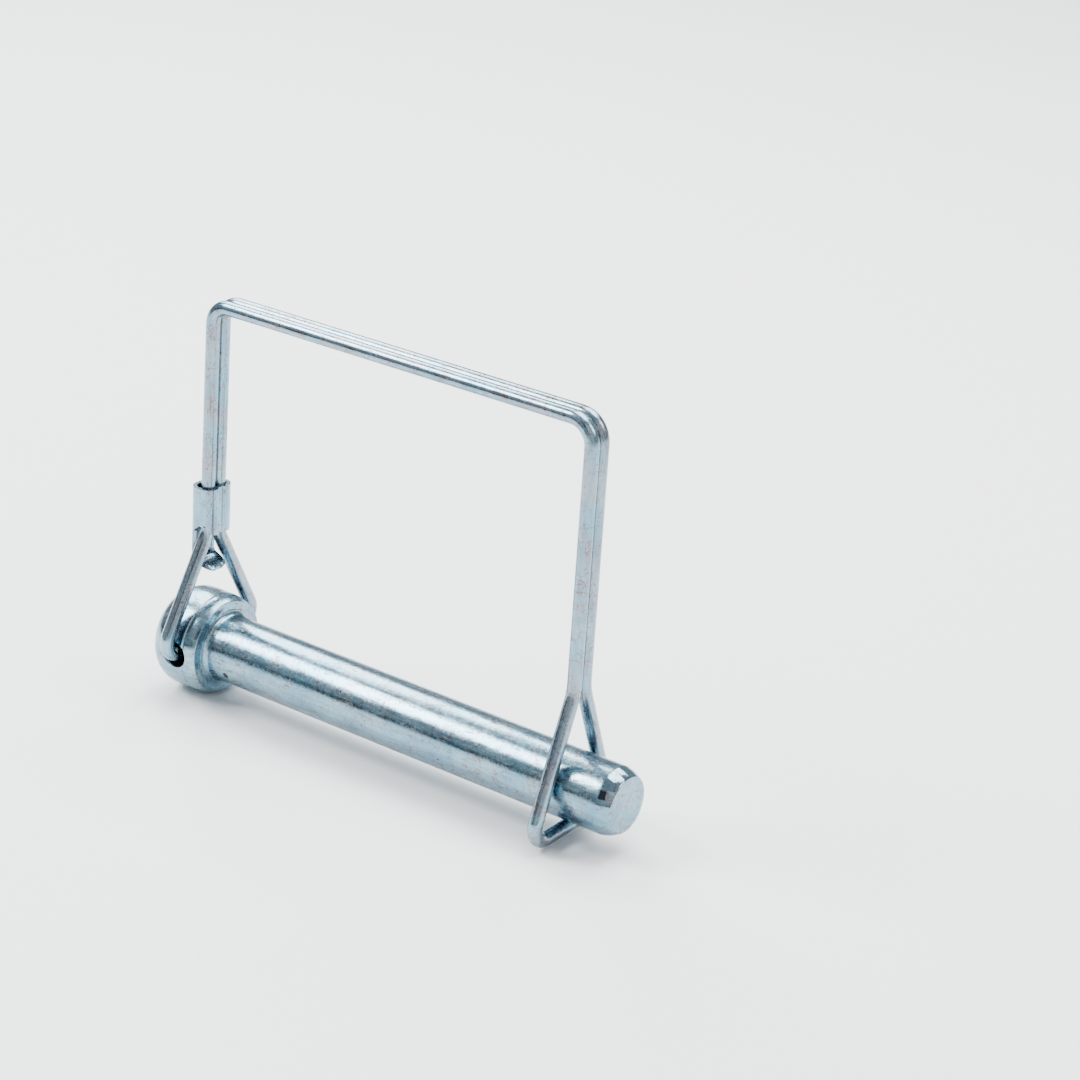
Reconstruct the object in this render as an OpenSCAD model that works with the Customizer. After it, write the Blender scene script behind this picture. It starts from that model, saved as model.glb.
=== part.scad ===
// Square double-wire lock pin: a headed steel pin, a sprung wire bail that
// swings on the head and snaps round the tip, and a crimped sleeve on the bail.
// Frame: the pin lies along +X with its plain shank starting at x = 0,
// and the bail stands up along +Z.

/* [Pin] */
// Diameter of the shank
shank_d = 9.5; // [7:0.5:14]
// Length from the head's face to the flat end of the tip
grip_len = 69.3; // [55:0.1:110]
// Diameter of the head
head_d = 14.6; // [12:0.1:22]
// Length of the head along the pin
head_len = 8.8; // [7.5:0.1:13]
// Radius of the rounding at the head's outer end
head_round = 3.2; // [1.5:0.1:4]
// Length of the crowned band beside the head's face
band_len = 2; // [1.4:0.1:2.6]
// Radius of the band's crown
band_crown = 4; // [3.2:0.1:6]
// Depth of the line turned behind the band
line_depth = 0.15; // [0.05:0.05:0.3]
// Distance of that line from the band
line_back = 0.2; // [0.2:0.05:0.6]
// Reach of the collar beyond the shank's surface, where the head meets it
collar_rim = 0.75; // [0.25:0.05:2]
// Length of the collar and its fillet
collar_len = 0.9; // [0.5:0.1:2]
// Height of the step at the collar's edge
collar_step = 0.12; // [0.04:0.02:0.3]
// Drop of the tip's taper from the shank's surface to its flat end
tip_drop = 0.85; // [0.4:0.05:2]
// Length of the tip's taper
tip_len = 2.4; // [1:0.1:5]

/* [Bail] */
// Diameter of the spring wire
wire_d = 2; // [1.6:0.1:2.6]
// Gap between the two strands of wire where they run side by side
strand_gap = 0.06; // [0.06:0.02:0.3]
// Swell of the wire's radius in its bends
bend_swell = 0.02; // [0.01:0.005:0.025]
// Distance from the flat end of the tip back to the bail's far leg
loop_inset = 8.8; // [5:0.1:12]
// Height of the top of the bail above the pin's axis
bail_h = 50.5; // [35:0.5:80]
// Lean of the head leg towards the tip, from the pivot to its top
leg_lean = 0.74; // [0.2:0.02:1]
// Radius of the top corner over the head
near_corner_r = 2.8; // [2.2:0.1:8]
// Radius of the top corner over the tip
far_corner_r = 3.3; // [2.2:0.1:8]
// Radius of the smaller bends in the wire
bend_r = 2.4; // [2:0.1:3]
// Distance of the pivot hole's centre from the head's face
pivot_back = 3.4; // [2.8:0.1:5]
// Diameter of the pivot hole through the head
pivot_hole_d = 3.6; // [2.8:0.1:4.2]
// Height above the pin's axis where the strands part over the head
head_v_h = 16.9; // [14:0.1:24]
// Height above the pin's axis where the strands part over the tip
tip_v_h = 13.6; // [11:0.1:20]
// Gap between the wire and the head at the pivot's bends
head_side_gap = 1; // [0.9:0.05:2]
// Gap between the loop's crossbar and the underside of the shank
bar_gap = 0.2; // [0.1:0.05:1]
// Drop of the crossbar's ends below its middle
bar_droop = 0.15; // [0.1:0.05:1]
// Gap between the loop's legs and the sides of the shank
loop_side_gap = 0.25; // [0.15:0.05:2]
// Gap in the wire at the far corner, where the bail flexes
flex_gap = 0.5; // [0.4:0.05:0.8]

/* [Sleeve] */
// Height of the sleeve's edge above the fork of the wires
sleeve_rise = 0.2; // [0:0.1:1]
// Rise of the arch in the sleeve's edge over each wire
arch_rise = 0.9; // [0.5:0.1:2]
// Width of that arch
arch_w = 2.8; // [2.2:0.1:3]
// Thickness of the sheet
sheet_t = 0.6; // [0.4:0.05:0.8]
// Height of the sleeve
sleeve_h = 6.8; // [5:0.1:10]
// Play between the sleeve and the wires
sleeve_play = 0.15; // [0.1:0.05:0.3]
// Extra room in the sleeve behind the wires
sleeve_room = 0.5; // [0.2:0.1:1]
// Depth of the valley pressed between the wires
valley_depth = 0.2; // [0.1:0.05:0.4]
// Width of the valley
valley_w = 2; // [1.4:0.1:2.4]
// Width of the tongue under the sleeve
tongue_w = 4.4; // [3:0.1:4.8]
// Drop of the tongue below the sleeve
tongue_drop = 4.9; // [4:0.1:6]
// Width of the tongue's lip, which passes through the fork of the wires
lip_w = 3.4; // [2:0.1:3.6]
// Reach of the lip
lip_len = 2; // [1:0.1:2.6]
// Downward slope of the lip
lip_slope = 19; // [0:1:40]

/* [Hidden] */
$fn = 64;
slack = 0.01;
bite = 0.03;
steel = [0.72, 0.77, 0.8];
bright = [0.78, 0.82, 0.85];

shank_r = shank_d / 2;
collar_r = shank_r + collar_rim;
tip_r = shank_r - tip_drop;
head_r = head_d / 2;
wire_r = wire_d / 2;
face_x = -collar_len;
tip_x = face_x + grip_len;
head_end_x = face_x - head_len;
band_x = face_x - band_len;

pivot_x = face_x - pivot_back;
leg_top_x = pivot_x + leg_lean;
fork_x = pivot_x + leg_lean * head_v_h / bail_h;
far_x = tip_x - loop_inset;
strand_y = wire_r + strand_gap / 2;
// Distance of each wire end from the middle of the hole
wire_end_y = 1.2;
// Share of the bend's radius that widens the fork over the head
spread_share = 0.9;

// Fork of the wires over the head: how far it spreads at the pivot's height
pivot_y = head_r + head_side_gap + wire_r + bend_spread(head_v_h, head_r);

// Loop round the tip, worked out so that its legs pass the shank's sides
loop_r = shank_r + loop_side_gap + wire_r;
loop_tilt = loop_angle(tip_v_h, strand_y, loop_r);
bar_z = -(shank_r + bar_gap + wire_r);
loop_z = bar_z - bar_droop;
loop_y = strand_y + (tip_v_h - loop_z) * tan(loop_tilt);

// Extra width that the slanted leg needs where it bends into the hole
function bend_spread(h, r) = spread_share * bend_r * r / h;
// Slope at which a line from (y, h) passes a circle of radius r
function loop_angle(h, y, r) = asin(r / norm([h, y])) - atan(y / h);

// Centre line of one strand, from inside the head to the flex at the corner
function frame_points(side) = [
    [pivot_x, side * wire_end_y, 0],
    [pivot_x, side * pivot_y, 0],
    [fork_x, side * strand_y, head_v_h],
    [leg_top_x, side * strand_y, bail_h],
    [far_x, side * strand_y, bail_h],
    [far_x, side * strand_y, bail_h - far_corner_r - bite],
];
frame_bends = [bend_r, 2 * bend_r, near_corner_r, far_corner_r];
flex_z = bail_h - far_corner_r - flex_gap / 2;

// Centre line of the far leg and loop, down one side and up the other
loop_points = [
    [far_x, -strand_y, flex_z - flex_gap / 2],
    [far_x, -strand_y, tip_v_h],
    [far_x, -loop_y, loop_z],
    [far_x, 0, bar_z],
    [far_x, loop_y, loop_z],
    [far_x, strand_y, tip_v_h],
    [far_x, strand_y, flex_z - flex_gap / 2],
];
loop_bends = [3 * bend_r, bend_r, 6 * bend_r, bend_r, 3 * bend_r];

sleeve_z = head_v_h + sleeve_rise;
arch_r = (arch_w * arch_w / 4 + arch_rise * arch_rise) / (2 * arch_rise);
sleeve_r = wire_r + sleeve_play;
sleeve_x = pivot_x + leg_lean * (sleeve_z + sleeve_h / 2) / bail_h;
sleeve_back_x = sleeve_x - sleeve_room - sleeve_r;
// Outer radius of the curl between the tongue and its lip
curl_r = 1.3;

function unit(v) = v / norm(v);
function angle_at(a, b, c) = acos(unit(a - b) * unit(c - b));
function setback(a, b, c, r) = r / tan(angle_at(a, b, c) / 2);

// A straight length of round wire between two points
module rod(a, b, r) {
    run = b - a;
    turn = atan2(run[1], run[0]);
    lean = acos(run[2] / norm(run));
    translate(a)
        rotate([0, lean, turn])
            cylinder(h = norm(run), r = r);
}

// A bend of round wire at corner b, between the directions of a and c
module bend(a, b, c, bend_radius, r) {
    to_a = unit(a - b);
    to_c = unit(c - b);
    half = angle_at(a, b, c) / 2;
    inward = unit(to_a + to_c);
    across = unit(to_c - to_a);
    up = cross(inward, across);
    hub = b + inward * bend_radius / sin(half);
    sweep = 180 - 2 * half;
    multmatrix([
        [-inward[0], across[0], -up[0], hub[0]],
        [-inward[1], across[1], -up[1], hub[1]],
        [-inward[2], across[2], -up[2], hub[2]],
        [0, 0, 0, 1],
    ])
        rotate([0, 0, -sweep / 2])
            rotate_extrude(angle = sweep)
                translate([bend_radius, 0])
                    circle(r);
}

// Wire along a list of points, with a bend at each inner point
module wire(points, bends, r) {
    last = len(points) - 1;
    function back(i) = setback(points[i - 1], points[i], points[i + 1], bends[i - 1]);
    for (i = [0 : last - 1]) {
        dir = unit(points[i + 1] - points[i]);
        start = points[i] + dir * (i > 0 ? back(i) - bite : 0);
        end = points[i + 1] - dir * (i + 1 < last ? back(i + 1) - bite : 0);
        rod(start, end, r);
    }
    for (i = [1 : last - 1])
        bend(points[i - 1], points[i], points[i + 1], bends[i - 1], r + bend_swell);
}

// Half outline of the pin in its turning plane, with the axis along Y
module pin_outline() {
    translate([0, head_end_x])
        square([head_r - head_round, head_len]);
    translate([0, head_end_x + head_round])
        square([head_r, head_len - head_round - band_len]);
    translate([head_r - head_round, head_end_x + head_round])
        intersection() {
            circle(head_round);
            translate([0, -head_round])
                square(head_round);
        }
    intersection() {
        translate([head_r - band_crown, band_x])
            circle(band_crown);
        translate([0, band_x])
            square([head_r, band_len]);
    }
    translate([0, face_x - slack])
        square([shank_r, grip_len - tip_len + slack]);
    collar_outline();
    polygon([
        [0, tip_x - tip_len - slack],
        [shank_r, tip_x - tip_len],
        [tip_r, tip_x],
        [0, tip_x],
    ]);
}

// Stepped fillet from the head's face down to the shank
module collar_outline() {
    h = collar_len - collar_step;
    fillet_r = (collar_rim * collar_rim + h * h) / (2 * h);
    translate([0, face_x - slack])
        difference() {
            square([collar_r, collar_len + slack]);
            translate([collar_r, slack + collar_step + fillet_r])
                circle(fillet_r);
        }
}

module pin() {
    color(steel)
        difference() {
            rotate([0, 90, 0])
                rotate([0, 0, 180])
                    rotate_extrude()
                        pin_outline();
            // turned line behind the band
            translate([band_x - line_back, 0, 0])
                rotate([0, 90, 0])
                    rotate_extrude()
                        translate([head_r, 0])
                            rotate([0, 0, 45])
                                square(line_depth * sqrt(2), center = true);
            // pivot hole through the head
            translate([pivot_x, 0, 0])
                rotate([90, 0, 0])
                    cylinder(h = 2 * head_d, d = pivot_hole_d, center = true);
        }
}

module bail_frame() {
    color(bright)
        for (side = [-1, 1])
            wire(frame_points(side), frame_bends, wire_r);
}

module latch_loop() {
    color(bright)
        wire(loop_points, loop_bends, wire_r);
}

// Plan of the sleeve: a rounded box round the two wires
module sleeve_plan(r) {
    for (x = [sleeve_x - sleeve_room, sleeve_x], y = [-strand_y, strand_y])
        translate([x, y])
            circle(r);
    translate([sleeve_x - sleeve_room, -strand_y - r])
        square([sleeve_room, 2 * (strand_y + r)]);
    translate([sleeve_x - sleeve_room - r, -strand_y])
        square([sleeve_room + 2 * r, 2 * strand_y]);
}

// Side view of the tongue: straight down from the sleeve's back wall
module tongue_side() {
    down = tongue_drop - curl_r;
    translate([sleeve_back_x - sheet_t, -down])
        square([sheet_t, down + sheet_t]);
}

// Side view of the lip: curled forward from the tongue
module lip_side() {
    down = tongue_drop - curl_r;
    translate([sleeve_back_x - sheet_t, -down])
        square([sheet_t, sheet_t]);
    translate([sleeve_back_x + curl_r - sheet_t, -down])
        intersection() {
            difference() {
                circle(curl_r);
                circle(curl_r - sheet_t);
            }
            rotate([0, 0, 180])
                square(curl_r);
        }
    translate([sleeve_back_x + curl_r - sheet_t, -down])
        rotate([0, 0, -lip_slope])
            translate([-slack, -curl_r])
                square([lip_len, sheet_t]);
}

// Wall of the sleeve, with the valley pressed in and the arches cut out
module sleeve_wall() {
    arch_len = sleeve_r + sheet_t;
    difference() {
        linear_extrude(sleeve_h)
            difference() {
                sleeve_plan(sleeve_r + sheet_t);
                sleeve_plan(sleeve_r);
                translate([sleeve_x + sleeve_r + sheet_t, 0])
                    square([2 * valley_depth, valley_w], center = true);
            }
        for (side = [-1, 1])
            translate([sleeve_x, side * (strand_y + arch_len / 2 + slack), arch_rise - arch_r])
                rotate([90, 0, 0])
                    cylinder(h = arch_len, r = arch_r, center = true);
    }
}

module sleeve() {
    color(steel) {
        translate([0, 0, sleeve_z])
            sleeve_wall();
        translate([0, tongue_w / 2, sleeve_z])
            rotate([90, 0, 0])
                linear_extrude(tongue_w)
                    tongue_side();
        translate([0, lip_w / 2, sleeve_z])
            rotate([90, 0, 0])
                linear_extrude(lip_w)
                    lip_side();
    }
}

pin();
bail_frame();
latch_loop();
sleeve();
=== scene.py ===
import math
import bpy
import numpy as np
from mathutils import Matrix, Vector


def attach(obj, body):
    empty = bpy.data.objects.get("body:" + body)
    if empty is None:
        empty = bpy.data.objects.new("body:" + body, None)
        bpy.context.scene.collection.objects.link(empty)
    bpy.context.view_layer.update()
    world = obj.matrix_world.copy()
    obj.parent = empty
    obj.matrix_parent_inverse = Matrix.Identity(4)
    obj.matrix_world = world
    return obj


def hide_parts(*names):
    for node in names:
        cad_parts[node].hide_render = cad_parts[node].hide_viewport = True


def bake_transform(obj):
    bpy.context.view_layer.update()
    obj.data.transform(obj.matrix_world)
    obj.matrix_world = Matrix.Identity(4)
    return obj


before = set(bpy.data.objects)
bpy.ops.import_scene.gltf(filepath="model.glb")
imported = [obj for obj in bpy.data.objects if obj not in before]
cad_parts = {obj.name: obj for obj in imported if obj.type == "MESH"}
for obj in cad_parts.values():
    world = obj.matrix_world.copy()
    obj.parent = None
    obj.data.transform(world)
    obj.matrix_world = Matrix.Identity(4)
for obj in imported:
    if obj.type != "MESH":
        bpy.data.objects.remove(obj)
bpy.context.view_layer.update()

# Pieces are modelled with 1 unit = 1 mm, then brought to metres by finishPiece.
mm = 0.001


def vec(*c):
    return Vector(c)


def deselectAll():
    if bpy.context.mode != "OBJECT":
        bpy.ops.object.mode_set(mode="OBJECT")
    bpy.ops.object.select_all(action="DESELECT")


def setActive(obj):
    deselectAll()
    obj.select_set(True)
    bpy.context.view_layer.objects.active = obj


def pick(obj, test, mode="VERT"):
    # leaves the object in edit mode with the vertices that pass the test selected
    if bpy.context.mode != "OBJECT":
        bpy.ops.object.mode_set(mode="OBJECT")
    mesh = obj.data
    chosen = [bool(test(v.co)) for v in mesh.vertices]
    for f in mesh.polygons:
        f.select = False
    for e in mesh.edges:
        e.select = False
    for v, c in zip(mesh.vertices, chosen):
        v.select = c
    bpy.ops.object.mode_set(mode="EDIT")
    bpy.ops.mesh.select_mode(type="VERT")
    if mode != "VERT":
        bpy.ops.mesh.select_mode(use_extend=False, type=mode)
    return sum(chosen)


def applyModifier(obj, kind, **values):
    setActive(obj)
    mod = obj.modifiers.new(kind.lower(), kind)
    for k, v in values.items():
        setattr(mod, k, v)
    bpy.ops.object.modifier_apply(modifier=mod.name)


def extrudeBy(move):
    bpy.ops.mesh.extrude_region_move(TRANSFORM_OT_translate={"value": tuple(move)})


def pushBy(move, reach, connected=False):
    # moves the picked vertices, and draws along what lies within reach
    bpy.ops.transform.translate(
        value=move, use_proportional_edit=True, proportional_edit_falloff="SMOOTH",
        proportional_size=reach, use_proportional_connected=connected)


def turned(name, profile, segments, axis="X"):
    # a solid of revolution, ring by ring along its axis
    turn = {"X": (0, math.pi / 2, 0), "Y": (-math.pi / 2, 0, 0)}[axis]
    along = vec(1, 0, 0) if axis == "X" else vec(0, 1, 0)
    deselectAll()
    p0, r0 = profile[0]
    bpy.ops.mesh.primitive_circle_add(
        vertices=segments, radius=r0, fill_type="NGON", location=along * p0, rotation=turn)
    obj = bpy.context.object
    obj.name = name
    bpy.ops.object.transform_apply(location=True, rotation=True, scale=True)
    bpy.ops.object.mode_set(mode="EDIT")
    bpy.ops.mesh.select_all(action="SELECT")
    for (p, r), (q, s) in zip(profile, profile[1:]):
        extrudeBy(along * (q - p))
        k = s / r
        size = (1, k, k) if axis == "X" else (k, 1, k)
        bpy.ops.transform.resize(value=size, center_override=tuple(along * q))
    bpy.ops.mesh.select_all(action="SELECT")
    bpy.ops.mesh.normals_make_consistent(inside=False)
    bpy.ops.object.mode_set(mode="OBJECT")
    return obj


def finishPiece(obj, material, angle):
    setActive(obj)
    obj.scale = (mm, mm, mm)
    bpy.ops.object.transform_apply(location=True, rotation=True, scale=True)
    bpy.ops.object.shade_smooth_by_angle(angle=math.radians(angle))
    obj.data.materials.clear()
    obj.data.materials.append(material)


# Materials

def addNode(tree, kind, **values):
    node = tree.nodes.new(kind)
    for key, value in values.items():
        if key in node.inputs:
            node.inputs[key].default_value = value
        else:
            setattr(node, key, value)
    return node


def ramp(tree, source, stops):
    node = tree.nodes.new("ShaderNodeValToRGB")
    tree.links.new(source, node.inputs["Fac"])
    band = node.color_ramp
    while len(band.elements) < len(stops):
        band.elements.new(0.5)
    for element, (pos, colour) in zip(band.elements, stops):
        element.position = pos
        element.color = colour
    return node.outputs["Color"]


def grey(v):
    return (v, v, v, 1)


def mixColour(tree, fac, a, b, blend="MIX"):
    node = tree.nodes.new("ShaderNodeMix")
    node.data_type = "RGBA"
    node.blend_type = blend
    for socket, value in ((node.inputs[0], fac), (node.inputs[6], a), (node.inputs[7], b)):
        if isinstance(value, bpy.types.NodeSocket):
            tree.links.new(value, socket)
        else:
            socket.default_value = value
    return node.outputs[2]


def mathNode(tree, operation, a, b):
    node = tree.nodes.new("ShaderNodeMath")
    node.operation = operation
    for socket, value in ((node.inputs[0], a), (node.inputs[1], b)):
        if isinstance(value, bpy.types.NodeSocket):
            tree.links.new(value, socket)
        else:
            socket.default_value = value
    return node.outputs[0]


plateLook = {
    "pale": (0.25, 0.405, 0.48, 1),
    "blue": (0.135, 0.31, 0.42, 1),
    "lilac": (0.27, 0.32, 0.43, 1),
    "warm": (0.30, 0.27, 0.28, 1),
    "rust": (0.20, 0.085, 0.06, 1),
    "brown": (0.17, 0.12, 0.10, 1),
    "dark": (0.015, 0.02, 0.03, 1),
}


def makePlateGroup():
    # blue zinc plate: tint clouds, a painted warm reflection tint, drawn streaks, brown specks and small
    # pits
    tree = bpy.data.node_groups.new("bluePlate", "ShaderNodeTree")
    face = tree.interface
    face.new_socket("Place", in_out="INPUT", socket_type="NodeSocketVector")
    face.new_socket("Streak", in_out="INPUT", socket_type="NodeSocketVector")
    face.new_socket("Speckle", in_out="INPUT", socket_type="NodeSocketFloat")
    face.new_socket("Polish", in_out="INPUT", socket_type="NodeSocketFloat")
    face.new_socket("ReflectedWarmth", in_out="INPUT", socket_type="NodeSocketFloat")
    face.new_socket("Color", in_out="OUTPUT", socket_type="NodeSocketColor")
    face.new_socket("Roughness", in_out="OUTPUT", socket_type="NodeSocketFloat")
    face.new_socket("Height", in_out="OUTPUT", socket_type="NodeSocketFloat")
    enter = tree.nodes.new("NodeGroupInput")
    leave = tree.nodes.new("NodeGroupOutput")

    def noise(source, scale, detail, rough=0.55):
        node = addNode(tree, "ShaderNodeTexNoise", Scale=scale, Detail=detail, Roughness=rough)
        tree.links.new(source, node.inputs["Vector"])
        return node.outputs["Fac"]

    clouds = ramp(tree, noise(enter.outputs["Place"], 0.16, 3), [(0.35, grey(0)), (0.68, grey(1))])
    colour = mixColour(tree, clouds, plateLook["pale"], plateLook["blue"])
    haze = ramp(tree, noise(enter.outputs["Place"], 0.33, 2), [(0.5, grey(0)), (0.75, grey(0.5))])
    colour = mixColour(tree, haze, colour, plateLook["lilac"])
    # painted reflection: warm grey noise patches stand in for the brown-grey reflection of the camera-side
    # surroundings; the warmth input sets how much
    warmReflectionTint = ramp(tree, noise(enter.outputs["Place"], 0.22, 4), [(0.38, grey(0.15)), (0.62, grey(1))])
    warmReflectionTint = mathNode(tree, "MULTIPLY", warmReflectionTint, enter.outputs["ReflectedWarmth"])
    colour = mixColour(tree, warmReflectionTint, colour, plateLook["warm"])
    lines = noise(enter.outputs["Streak"], 1.0, 5, 0.65)
    shade = ramp(tree, lines, [(0.3, grey(0.70)), (0.7, grey(1.10))])
    colour = mixColour(tree, 1.0, colour, shade, "MULTIPLY")

    patch = ramp(tree, noise(enter.outputs["Place"], 0.55, 3), [(0.48, grey(0)), (0.66, grey(1))])
    grain = ramp(tree, noise(enter.outputs["Streak"], 2.6, 6, 0.7), [(0.54, grey(0)), (0.63, grey(1))])
    speck = mathNode(tree, "MULTIPLY", patch, grain)
    speck = mathNode(tree, "MULTIPLY", speck, enter.outputs["Speckle"])
    colour = mixColour(tree, speck, colour, plateLook["brown"])

    # hair scratches: the borders of bent cells, kept only in patches
    bent = addNode(tree, "ShaderNodeTexNoise", Scale=1.3, Detail=3)
    tree.links.new(enter.outputs["Place"], bent.inputs["Vector"])
    swirl = tree.nodes.new("ShaderNodeVectorMath")
    swirl.operation = "MULTIPLY_ADD"
    swirl.inputs[1].default_value = (1.7, 1.7, 1.7)
    tree.links.new(bent.outputs["Color"], swirl.inputs[0])
    tree.links.new(enter.outputs["Place"], swirl.inputs[2])
    web = addNode(tree, "ShaderNodeTexVoronoi", feature="DISTANCE_TO_EDGE")
    web.inputs["Scale"].default_value = 0.8
    tree.links.new(swirl.outputs["Vector"], web.inputs["Vector"])
    hair = ramp(tree, web.outputs["Distance"], [(0.01, grey(0.9)), (0.045, grey(0))])
    zone = ramp(tree, noise(enter.outputs["Place"], 0.42, 3, 0.7), [(0.44, grey(0)), (0.55, grey(1))])
    hair = mathNode(tree, "MULTIPLY", hair, zone)
    hair = mathNode(tree, "MULTIPLY", hair, enter.outputs["Speckle"])
    colour = mixColour(tree, hair, colour, plateLook["rust"])

    cells = addNode(tree, "ShaderNodeTexVoronoi", Scale=0.9)
    tree.links.new(enter.outputs["Place"], cells.inputs["Vector"])
    pits = ramp(tree, cells.outputs["Distance"], [(0.05, grey(1)), (0.11, grey(0))])
    chance = ramp(tree, noise(enter.outputs["Place"], 0.8, 1), [(0.58, grey(0)), (0.64, grey(1))])
    pits = mathNode(tree, "MULTIPLY", pits, chance)
    pits = mathNode(tree, "MULTIPLY", pits, enter.outputs["Speckle"])
    colour = mixColour(tree, pits, colour, plateLook["dark"])
    tree.links.new(colour, leave.inputs["Color"])

    fine = noise(enter.outputs["Place"], 2.2, 6, 0.6)
    spread = ramp(tree, fine, [(0.3, grey(0.12)), (0.75, grey(0.27))])
    streaky = ramp(tree, lines, [(0.35, grey(0)), (0.75, grey(0.11))])
    rough = mathNode(tree, "ADD", spread, streaky)
    rough = mathNode(tree, "ADD", rough, mathNode(tree, "MULTIPLY", speck, 0.3))
    rough = mathNode(tree, "MULTIPLY", rough, enter.outputs["Polish"])
    tree.links.new(rough, leave.inputs["Roughness"])

    swell = mathNode(tree, "MULTIPLY", noise(enter.outputs["Place"], 0.7, 2), 1.6)
    height = mathNode(tree, "ADD", swell, mathNode(tree, "MULTIPLY", lines, 0.35))
    height = mathNode(tree, "ADD", height, mathNode(tree, "MULTIPLY", fine, 0.25))
    height = mathNode(tree, "SUBTRACT", height, mathNode(tree, "MULTIPLY", pits, 1.2))
    tree.links.new(height, leave.inputs["Height"])
    return tree


plateGroup = makePlateGroup()


def newMaterial(name):
    mat = bpy.data.materials.new(name)
    mat.use_nodes = True
    tree = mat.node_tree
    shader = tree.nodes["Principled BSDF"]
    shader.inputs["Metallic"].default_value = 1.0
    return mat, tree, shader


def scaled(tree, source, size):
    node = tree.nodes.new("ShaderNodeMapping")
    node.inputs["Scale"].default_value = size
    tree.links.new(source, node.inputs["Vector"])
    return node.outputs["Vector"]


def markMask(tree, place, spot):
    # one where a point lies within the spot, with a ragged edge
    gap = tree.nodes.new("ShaderNodeVectorMath")
    gap.operation = "DISTANCE"
    gap.inputs[1].default_value = spot["at"]
    tree.links.new(place, gap.inputs[0])
    ragged = addNode(tree, "ShaderNodeTexNoise", Scale=1.9, Detail=3)
    tree.links.new(place, ragged.inputs["Vector"])
    wobble = mathNode(tree, "MULTIPLY", ragged.outputs["Fac"], spot["r"])
    edge = mathNode(tree, "ADD", gap.outputs["Value"], wobble)
    return mathNode(tree, "LESS_THAN", edge, 1.5 * spot["r"])


def platedMaterial(name, streakSource, streakSize, speckle, polish, bump, reflectedWarmth, spots=(), brightFrom=None):
    mat, tree, shader = newMaterial(name)
    coord = tree.nodes.new("ShaderNodeTexCoord")
    place = scaled(tree, coord.outputs["Object"], (1000, 1000, 1000))
    if streakSource == "object":
        streak = scaled(tree, coord.outputs["Object"], streakSize)
    else:
        attr = tree.nodes.new("ShaderNodeAttribute")
        attr.attribute_name = streakSource
        streak = scaled(tree, attr.outputs["Vector"], streakSize)
    plate = tree.nodes.new("ShaderNodeGroup")
    plate.node_tree = plateGroup
    plate.inputs["Speckle"].default_value = speckle
    plate.inputs["Polish"].default_value = polish
    plate.inputs["ReflectedWarmth"].default_value = reflectedWarmth
    tree.links.new(place, plate.inputs["Place"])
    tree.links.new(streak, plate.inputs["Streak"])
    relief = tree.nodes.new("ShaderNodeBump")
    relief.inputs["Strength"].default_value = bump
    relief.inputs["Distance"].default_value = 0.00004
    tree.links.new(plate.outputs["Height"], relief.inputs["Height"])
    colour = plate.outputs["Color"]
    for spot in spots:
        colour = mixColour(tree, markMask(tree, place, spot), colour, plateLook["dark"])
    if brightFrom is not None:
        parts = tree.nodes.new("ShaderNodeSeparateXYZ")
        tree.links.new(place, parts.inputs[0])
        bright = mathNode(tree, "GREATER_THAN", parts.outputs["X"], brightFrom)
        level = mathNode(tree, "SUBTRACT", polish, mathNode(tree, "MULTIPLY", bright, 0.62 * polish))
        tree.links.new(level, plate.inputs["Polish"])
    tree.links.new(colour, shader.inputs["Base Color"])
    tree.links.new(plate.outputs["Roughness"], shader.inputs["Roughness"])
    tree.links.new(relief.outputs["Normal"], shader.inputs["Normal"])
    return mat


pinMarks = [
    {"at": (2.9, -4.39, -1.82), "r": 0.5},
    {"at": (23.5, -4.0, 2.5), "r": 0.13},
    {"at": (41.0, -4.5, -1.4), "r": 0.15},
]
pinSteel = platedMaterial("pinSteel", "object", (180, 1600, 1600), 1.0, 1.0, 0.45, 0.12, pinMarks, 66.5)
wireSteel = platedMaterial("wireSteel", "wirePlace", (0.25, 2.2, 2.2), 1.0, 1.0, 0.4, 0.55)
sleeveSteel = platedMaterial("sleeveSteel", "object", (900, 900, 250), 0.9, 1.0, 0.4, 0.2)
print("materials done")


# The pin

pinSize = {
    "shankR": 4.75,
    "faceX": -0.9,
    "headR": 7.3,
    "headEndX": -9.7,
    "roundR": 3.2,
    "bandX": -2.9,
    "crownR": 4.0,
    "collarR": 5.5,
    "tipX": 68.4,
    "tipR": 3.86,
    "holeX": -4.3,
    "holeR": 1.8,
    "burrAt": (-4.4, -0.4, -7.32),
    "burrR": 0.2,
    "burrDrop": 0.1,
    "burrReach": 0.7,
}


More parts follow.
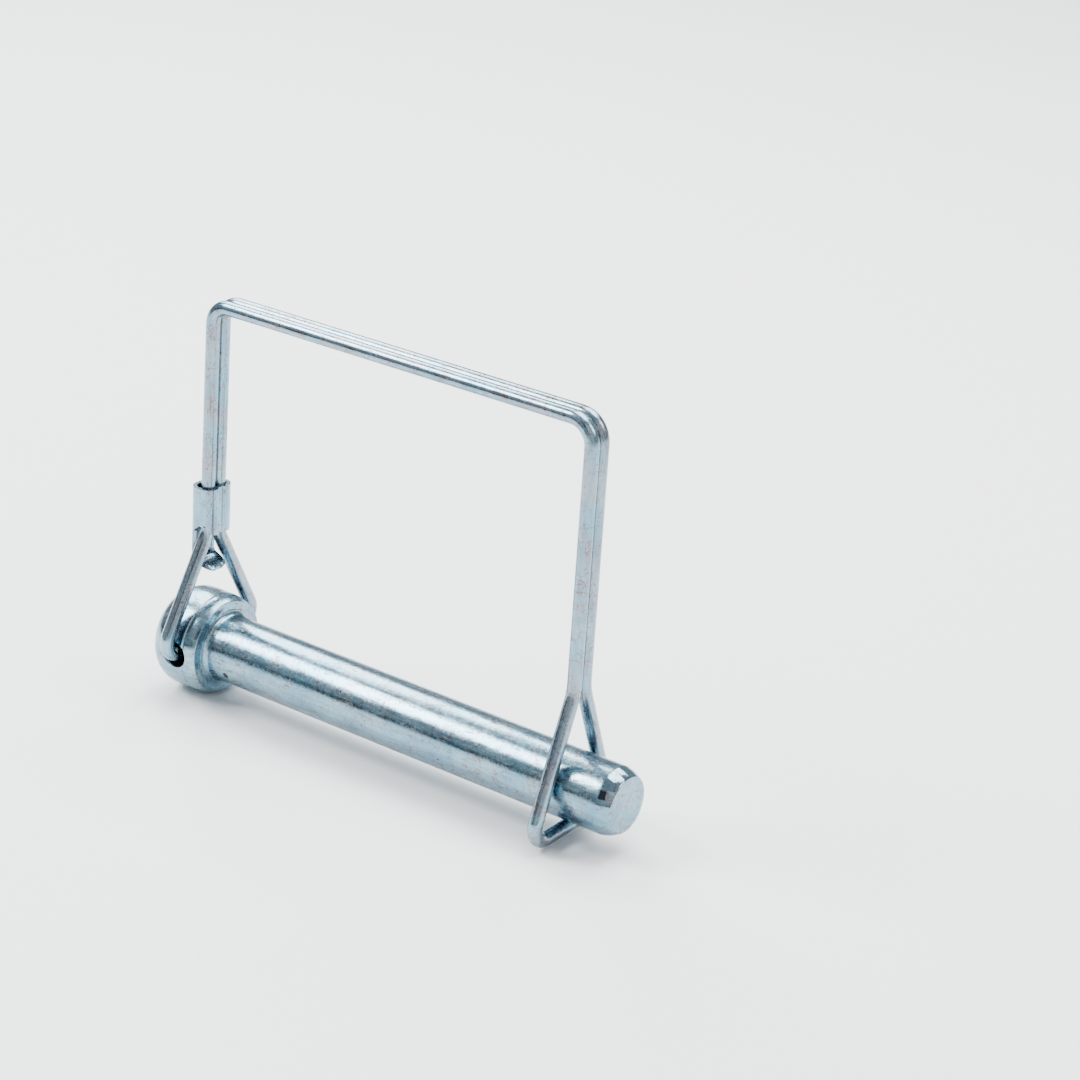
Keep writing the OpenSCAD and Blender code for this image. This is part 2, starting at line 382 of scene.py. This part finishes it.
def pinProfile(s):
    pts = [(s["headEndX"], 0.6), (s["headEndX"], 2.4)]
    hubR = s["headR"] - s["roundR"]
    hubX = s["headEndX"] + s["roundR"]
    for i in range(0, 17):
        a = math.radians(90 * i / 16)
        pts.append((hubX - s["roundR"] * math.cos(a), hubR + s["roundR"] * math.sin(a)))
    x = hubX + 0.25
    while x < s["bandX"] - 0.2:
        t = (x - hubX) / (s["bandX"] - hubX)
        pts.append((x, s["headR"] + 0.05 * math.sin(math.pi * min(1, 1.3 * t))))
        x += 0.27
    pts += [(s["bandX"] - 0.16, s["headR"] - 0.01), (s["bandX"] - 0.07, s["headR"] - 0.1)]
    pts += [(s["bandX"], s["headR"] - 0.17), (s["bandX"] + 0.07, s["headR"] - 0.12)]
    hub = s["headR"] - s["crownR"]
    x = s["bandX"] + 0.16
    while x < s["faceX"] - 0.06:
        pts.append((x, hub + math.sqrt(s["crownR"] ** 2 - (x - s["bandX"]) ** 2) - 0.03))
        x += 0.22
    pts += [(s["faceX"] - 0.05, 6.72), (s["faceX"] - 0.01, 6.68), (s["faceX"], 6.62)]
    pts += [(s["faceX"], 6.1), (s["faceX"], 5.56), (s["faceX"] + 0.02, 5.51)]
    pts += [(s["faceX"] + 0.09, 5.5), (s["faceX"] + 0.12, 5.46)]
    fillet = s["collarR"] - s["shankR"]
    for i in range(1, 9):
        a = math.radians(90 * i / 8)
        pts.append((s["faceX"] + 0.12 + fillet * (1 - math.cos(a)), s["collarR"] - fillet * math.sin(a)))
    for i in range(1, 34):
        pts.append((66.2 * i / 33, s["shankR"]))
    pts += [(66.45, 4.74), (66.6, 4.71), (66.75, 4.66), (67.05, 4.57), (67.3, 4.49), (67.4, 4.45)]
    pts += [(67.75, 4.28), (68.1, 4.09), (68.27, 3.99), (68.36, 3.92), (s["tipX"], s["tipR"] - 0.02)]
    pts += [(s["tipX"], 3.4), (s["tipX"], 2.0), (s["tipX"], 0.5)]
    return pts


pinObj = turned("pinPiece", pinProfile(pinSize), 160)
holeProfile = [(-9, 2.9), (-7.9, 2.9), (-7.5, 2.42), (-7.3, 2.12), (-7.1, 1.94), (-6.85, 1.84)]
holeProfile += [(-6.5, pinSize["holeR"]), (0, pinSize["holeR"])]
holeProfile += [(-p, r) for p, r in reversed(holeProfile[:-1])]
cutter = turned("holeCutter", holeProfile, 64, "Y")
setActive(cutter)
bpy.ops.transform.translate(value=(pinSize["holeX"], 0, 0))
bpy.ops.object.transform_apply(location=True, rotation=True, scale=True)
applyModifier(pinObj, "BOOLEAN", operation="DIFFERENCE", object=cutter, solver="EXACT")
setActive(cutter)
bpy.ops.object.delete()

# a small burr pushed out under the head
setActive(pinObj)
pick(pinObj, lambda c: (c - vec(*pinSize["burrAt"])).length < pinSize["burrR"])
pushBy((0, 0, -pinSize["burrDrop"]), pinSize["burrReach"])
bpy.ops.object.mode_set(mode="OBJECT")
finishPiece(pinObj, pinSteel, 32)
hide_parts("pin")
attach(pinObj, "pin")
print("pin done", len(pinObj.data.polygons))


# The spring wire, one length from hole to hole

wireSize = {
    "r": 1.0,
    "segments": 32,
    "pivotX": -4.3,
    "endY": 1.2,
    "cornerY": 10.2,
    "lean": 0.74,
    "forkZ": 16.9,
    "topZ": 50.5,
    "farX": 59.6,
    "strandY": 1.03,
    "loopForkZ": 13.6,
    "loopY": 8.9,
    "loopZ": -6.1,
    "barZ": -5.95,
}


def wireCorners(s):
    forkX = s["pivotX"] + s["lean"] * s["forkZ"] / s["topZ"]
    topX = s["pivotX"] + s["lean"]
    half = [
        (vec(s["pivotX"], s["endY"], 0), 0),
        (vec(s["pivotX"], s["cornerY"], 0), 2.3),
        (vec(forkX, s["strandY"], s["forkZ"]), 6.0),
        (vec(topX, s["strandY"], s["topZ"]), 2.8),
        (vec(s["farX"], s["strandY"], s["topZ"]), 3.3),
        (vec(s["farX"], s["strandY"], s["loopForkZ"]), 7.0),
        (vec(s["farX"], s["loopY"], s["loopZ"]), 2.4),
    ]
    mirror = [(vec(p.x, -p.y, p.z), r) for p, r in half]
    return mirror + [(vec(s["farX"], 0, s["barZ"]), 14.0)] + half[::-1]


def bendFacts(a, b, c, r):
    toA, toC = (a - b).normalized(), (c - b).normalized()
    half = toA.angle(toC) / 2
    hub = b + (toA + toC).normalized() * (r / math.sin(half))
    back = r / math.tan(half)
    axis = (-toA).cross(toC).normalized()
    sweep = math.pi - 2 * half
    return {"hub": hub, "axis": axis, "sweep": sweep, "start": b + toA * back, "end": b + toC * back}


def buildWire(s):
    corners = wireCorners(s)
    pts = [p for p, r in corners]
    bends = [bendFacts(pts[i - 1], pts[i], pts[i + 1], corners[i][1]) for i in range(1, len(pts) - 1)]
    heading = (pts[1] - pts[0]).normalized()
    deselectAll()
    turn = heading.to_track_quat("Z", "Y").to_euler()
    bpy.ops.mesh.primitive_circle_add(vertices=s["segments"], radius=s["r"], location=pts[0], rotation=turn)
    obj = bpy.context.object
    obj.name = "springWire"
    bpy.ops.object.transform_apply(location=True, rotation=True, scale=True)
    bpy.ops.object.mode_set(mode="EDIT")
    bpy.ops.mesh.select_all(action="SELECT")
    here = pts[0]
    path = [here]
    for bend in bends:
        run = bend["start"] - here
        steps = max(1, int(run.length / 2.5))
        for i in range(steps):
            extrudeBy(run / steps)
            path.append(here + run * (i + 1) / steps)
        steps = max(3, math.ceil(math.degrees(bend["sweep"]) / 5))
        bpy.ops.mesh.spin(
            steps=steps, angle=-bend["sweep"], center=tuple(bend["hub"]), axis=tuple(bend["axis"]))
        for i in range(steps):
            turnPart = Matrix.Rotation(bend["sweep"] * (i + 1) / steps, 3, bend["axis"])
            path.append(bend["hub"] + turnPart @ (bend["start"] - bend["hub"]))
        here = bend["end"]
    run = pts[-1] - here
    for i in range(3):
        extrudeBy(run / 3)
        path.append(here + run * (i + 1) / 3)
    bpy.ops.mesh.select_all(action="SELECT")
    bpy.ops.mesh.remove_doubles(threshold=0.0001)
    bpy.ops.mesh.select_all(action="DESELECT")
    bpy.ops.mesh.select_non_manifold()
    bpy.ops.mesh.fill_holes(sides=0)
    bpy.ops.mesh.select_all(action="SELECT")
    bpy.ops.mesh.normals_make_consistent(inside=False)
    bpy.ops.object.mode_set(mode="OBJECT")
    return obj, path


def markWire(obj, path, attribute):
    # each vertex keeps its distance along the wire and its place round it, so marks follow the bends
    pts = [np.array(path[0])]
    for a, b in zip(path, path[1:]):
        n = max(1, int((b - a).length / 0.4))
        pts += [np.array(a.lerp(b, (i + 1) / n)) for i in range(n)]
    pts = np.array(pts)
    gap = np.gradient(pts, axis=0)
    gap /= np.linalg.norm(gap, axis=1)[:, None]
    along = np.r_[0, np.cumsum(np.linalg.norm(np.diff(pts, axis=0), axis=1))]
    side = [np.array([0.0, 0.0, 1.0])]
    for t in gap[1:]:
        u = side[-1] - t * (side[-1] @ t)
        side.append(u / np.linalg.norm(u))
    side = np.array(side)
    other = np.cross(gap, side)
    values = np.zeros((len(obj.data.vertices), 3))
    for i, v in enumerate(obj.data.vertices):
        d = pts - np.array(v.co)
        k = int(np.argmin((d * d).sum(1)))
        out = -d[k]
        values[i] = (along[k] + out @ gap[k], out @ side[k], out @ other[k])
    layer = obj.data.attributes.new(attribute, "FLOAT_VECTOR", "POINT")
    layer.data.foreach_set("vector", values.astype(np.float32).ravel())


wireObj, wirePath = buildWire(wireSize)
endGap = (Vector(wireObj.data.vertices[-1].co) - wirePath[-1]).length
print("wire end is", round(endGap, 3), "from its path's end")
markWire(wireObj, wirePath, "wirePlace")
finishPiece(wireObj, wireSteel, 40)
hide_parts("bail_frame", "latch_loop")
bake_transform(wireObj)
print("wire done", len(wireObj.data.polygons))


# The pressed sleeve with its tongue

sleeveSize = {
    "x": -4.0,
    "z": 17.05,
    "h": 6.8,
    "r": 1.45,
    "sheet": 0.58,
    "room": 0.5,
    "apart": 1.03,
    "flatHalf": 1.4,
    "flatCuts": 5,
    "rows": [0, 0.45, 0.9, 1.4, 2.4, 3.6, 4.8, 5.9, 6.4],
    "valley": 0.34,
    "valleyHalf": 0.8,
    "valleyBand": 0.06,
    "wrap": 0.5,
    "arch": 1.3,
    "archReach": 1.5,
    "archX": 0.05,
    "archHalf": 0.55,
    "archFrom": 1.8,
    "lowBand": 0.3,
    "foldBand": 0.45,
    "foldFrom": 0.6,
    "foldTo": 1.1,
    "foldAbove": 0.2,
    "foldCrease": 0.75,
    "edgeR": 0.1,
    "edgeAngle": 55,
    "drop": 4.85,
    "curlR": 1.25,
    "slope": 20,
    "lip": [(1.0, 0.7), (0.97, 0.6), (0.9, 0.5), (0.78, 0.35), (0.6, 0.2)],
}


def buildSleeve(s):
    deselectAll()
    bpy.ops.mesh.primitive_circle_add(vertices=40, radius=s["r"], location=(0, 0, 0))
    obj = bpy.context.object
    obj.name = "pressedSleeve"
    for side in (-1, 1):
        pick(obj, lambda c: c.y * side > 0.01)
        bpy.ops.transform.translate(value=(0, side * s["apart"], 0))
    pick(obj, lambda c: c.x < -0.01)
    bpy.ops.transform.translate(value=(-s["room"], 0, 0))
    pick(obj, lambda c: abs(c.y) < s["flatHalf"])
    bpy.ops.mesh.select_mode(type="EDGE")
    bpy.ops.mesh.subdivide(number_cuts=s["flatCuts"])
    bpy.ops.mesh.select_mode(type="VERT")
    bpy.ops.mesh.select_all(action="SELECT")
    rows = s["rows"] + [s["h"]]
    for a, b in zip(rows, rows[1:]):
        extrudeBy((0, 0, b - a))
    # valley pressed between the wires on the front
    pick(obj, lambda c: c.x > s["r"] - s["valleyBand"] and abs(c.y) < s["valleyHalf"])
    bpy.ops.transform.translate(value=(-s["valley"], 0, 0))
    # bottom edge arched over each wire
    for side in (-1, 1):
        low = min(v.co.z for v in obj.data.vertices)
        pick(obj, lambda c: c.z < low + 0.01 and abs(c.x - s["archX"]) < s["archHalf"]
             and c.y * side > s["archFrom"])
        pushBy((0, 0, s["arch"]), s["archReach"], connected=True)
    return obj


sleeveObj = buildSleeve(sleeveSize)


def addTongue(obj, s):
    # a shallow channel drawn down from the back wall and curled forward
    backX = -s["r"] - s["room"]
    low = min(v.co.z for v in obj.data.vertices)
    picked = pick(obj, lambda c: c.x < backX + s["wrap"] and c.z < low + s["lowBand"])
    print("tongue edge vertices", picked)
    steps = 4
    down = s["drop"] - s["curlR"]
    for i in range(steps):
        extrudeBy((0, 0, -down / steps))
        if i == 0:
            bpy.ops.transform.resize(value=(1, 1, 0.001), center_override=(0, 0, -down / steps))
    curl = math.radians(90 - s["slope"])
    bpy.ops.mesh.spin(steps=6, angle=curl, center=(backX + s["curlR"], 0, -down), axis=(0, 1, 0))
    slope = math.radians(s["slope"])
    reach = vec(math.cos(slope), 0, -math.sin(slope))
    for share, length in s["lip"]:
        extrudeBy(reach * length)
        bpy.ops.transform.resize(value=(1, share, 1))
    bpy.ops.mesh.select_all(action="SELECT")
    bpy.ops.mesh.remove_doubles(threshold=0.001)
    bpy.ops.mesh.normals_make_consistent(inside=False)
    bpy.ops.object.mode_set(mode="OBJECT")


addTongue(sleeveObj, sleeveSize)
pick(sleeveObj, lambda c: c.x > sleeveSize["r"] - sleeveSize["foldBand"]
     and sleeveSize["foldFrom"] < abs(c.y) < sleeveSize["foldTo"]
     and c.z > sleeveSize["foldAbove"], "EDGE")
bpy.ops.transform.edge_crease(value=sleeveSize["foldCrease"])
bpy.ops.object.mode_set(mode="OBJECT")
applyModifier(sleeveObj, "SOLIDIFY", thickness=sleeveSize["sheet"], offset=0, use_even_offset=False)
applyModifier(
    sleeveObj, "BEVEL", width=sleeveSize["edgeR"], segments=2,
    limit_method="ANGLE", angle_limit=math.radians(sleeveSize["edgeAngle"]))
applyModifier(sleeveObj, "SUBSURF", levels=2)
setActive(sleeveObj)
bpy.ops.object.mode_set(mode="EDIT")
bpy.ops.mesh.select_all(action="SELECT")
bpy.ops.mesh.normals_make_consistent(inside=False)
bpy.ops.object.mode_set(mode="OBJECT")
sleeveObj.location = (sleeveSize["x"], 0, sleeveSize["z"])
bpy.ops.object.transform_apply(location=True, rotation=True, scale=True)
finishPiece(sleeveObj, sleeveSteel, 40)
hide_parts("sleeve")
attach(sleeveObj, "bail")
print("sleeve done", len(sleeveObj.data.polygons))


# Floor, lights and camera

stageSize = {"floorZ": -0.0074, "floor": 4.0}


def plainMaterial(name, colour, rough):
    mat = bpy.data.materials.new(name)
    mat.use_nodes = True
    shader = mat.node_tree.nodes["Principled BSDF"]
    shader.inputs["Base Color"].default_value = colour
    shader.inputs["Roughness"].default_value = rough
    return mat


deselectAll()
bpy.ops.mesh.primitive_plane_add(size=stageSize["floor"], location=(0.03, 0, stageSize["floorZ"]))
floorObj = bpy.context.object
floorObj.name = "floor"
floorObj.data.materials.append(plainMaterial("paleFloor", (0.93, 0.945, 0.95, 1), 0.6))


def darkCard(name, place, size, facing, colour=(0.01, 0.012, 0.015, 1)):
    deselectAll()
    bpy.ops.mesh.primitive_plane_add(size=1, location=place)
    card = bpy.context.object
    card.name = name
    card.scale = (size[0], size[1], 1)
    away = Vector(facing) - Vector(place)
    card.rotation_euler = away.to_track_quat("Z", "Y").to_euler()
    bpy.ops.object.transform_apply(location=False, rotation=False, scale=True)
    card.data.materials.append(plainMaterial(name + "Card", colour, 0.9))
    card.visible_camera = False
    return card


focus = (0.03, 0.0, 0.01)
darkCard("cameraSide", (0.33, -0.37, 0.24), (0.75, 0.42), focus, (0.40, 0.36, 0.35, 1))
darkCard("darkSide", (0.135, -0.40, 0.265), (0.17, 0.22), focus)
darkCard("leftGap", (-0.125, -0.225, 0.024), (0.40, 0.06), (0.03, 0, 0.02))


def softbox(name, direction, distance, size, power, colour=(1, 1, 1)):
    az, el = math.radians(direction[0]), math.radians(direction[1])
    ray = vec(math.cos(az) * math.cos(el), math.sin(az) * math.cos(el), math.sin(el))
    place = Vector(focus) + ray * distance
    data = bpy.data.lights.new(name, "AREA")
    data.shape = "RECTANGLE"
    data.size, data.size_y = size
    data.energy = power
    data.color = colour
    lamp = bpy.data.objects.new(name, data)
    bpy.context.scene.collection.objects.link(lamp)
    lamp.location = place
    lamp.rotation_euler = (-ray).to_track_quat("-Z", "Y").to_euler()
    return lamp


softbox("leftBox", (-145, 46), 0.7, (0.34, 0.24), 6.5)
softbox("topBox", (80, 74), 0.7, (0.5, 0.42), 7.0)
softbox("backBox", (150, 42), 0.8, (0.4, 0.34), 6.5)
softbox("farBox", (93, 46), 0.85, (0.34, 0.26), 3.0)
softbox("rightBox", (20, 40), 0.9, (0.4, 0.4), 4.0)

world = bpy.data.worlds.new("softRoom")
bpy.context.scene.world = world
world.use_nodes = True
sky = world.node_tree.nodes["Background"]
sky.inputs["Color"].default_value = (0.80, 0.88, 0.93, 1)
sky.inputs["Strength"].default_value = 0.68

cameraSize = {"place": (0.24235, -0.27212, 0.17141), "az": 34.98, "el": 22.74, "roll": 3.841, "lens": 94.2}


def makeCamera(s):
    az, el, roll = (math.radians(s[k]) for k in ("az", "el", "roll"))
    back = vec(math.sin(az) * math.cos(el), -math.cos(az) * math.cos(el), math.sin(el))
    right = (-back).cross(vec(0, 0, 1)).normalized()
    up = right.cross(-back)
    sideways = right * math.cos(roll) + up * math.sin(roll)
    upright = up * math.cos(roll) - right * math.sin(roll)
    data = bpy.data.cameras.new("view")
    data.lens = s["lens"]
    data.sensor_width = 36
    data.clip_start, data.clip_end = 0.01, 20
    cam = bpy.data.objects.new("view", data)
    bpy.context.scene.collection.objects.link(cam)
    turn = Matrix((sideways, upright, back)).transposed().to_4x4()
    cam.matrix_world = Matrix.Translation(s["place"]) @ turn
    bpy.context.scene.camera = cam


makeCamera(cameraSize)
print("stage done")
